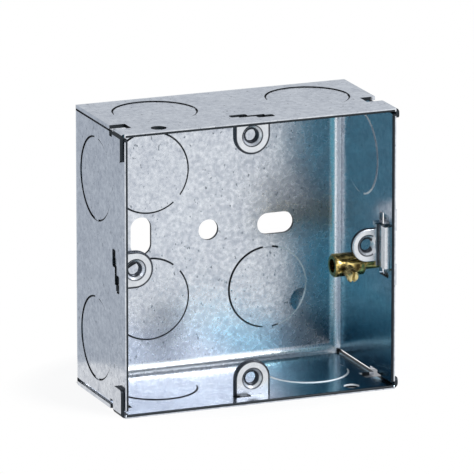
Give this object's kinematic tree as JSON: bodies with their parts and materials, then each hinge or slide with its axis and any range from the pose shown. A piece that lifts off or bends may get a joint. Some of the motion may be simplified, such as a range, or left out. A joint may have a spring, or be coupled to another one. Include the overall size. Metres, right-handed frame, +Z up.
{
  "type": "flush back box",
  "caption": "Square galvanised steel flush box, open at the front, with tapped lugs, an adjustable lug, conduit knockouts and a brass earth terminal.",
  "frame": {"origin": "middle of the back's outer face, on the centre fixing hole's axis", "axes": "+X right, +Y into the wall, +Z up; the open front faces -Y"},
  "size_m": [0.072, 0.035, 0.07],
  "materials": {
    "galvanised_sheet": "hot-dip galvanised, mottled",
    "galvanised_lug": "zinc plated",
    "terminal_brass": "turned brass"
  },
  "bodies": {
    "box": {"box_body": "galvanised_sheet", "top_lug": "galvanised_lug", "left_lug": "galvanised_lug", "bottom_lug": "galvanised_lug", "earth_terminal_post": "terminal_brass"},
    "adjustable_lug": {"adjustable_lug": "galvanised_lug"},
    "clamp_screw": {"earth_terminal_screw": "terminal_brass"}
  },
  "joints": [
    {"name": "lug_slide", "type": "slide", "parent": "box", "child": "adjustable_lug", "axis": [0, 0, 1], "range_m": [-0.0025, 0.0025]},
    {"name": "clamp_screw_turn", "type": "hinge", "parent": "box", "child": "clamp_screw", "pos_m": [0.0264, -0.0238, -0.0057], "axis": [0, -0.9397, -0.342], "continuous": true}
  ]
}
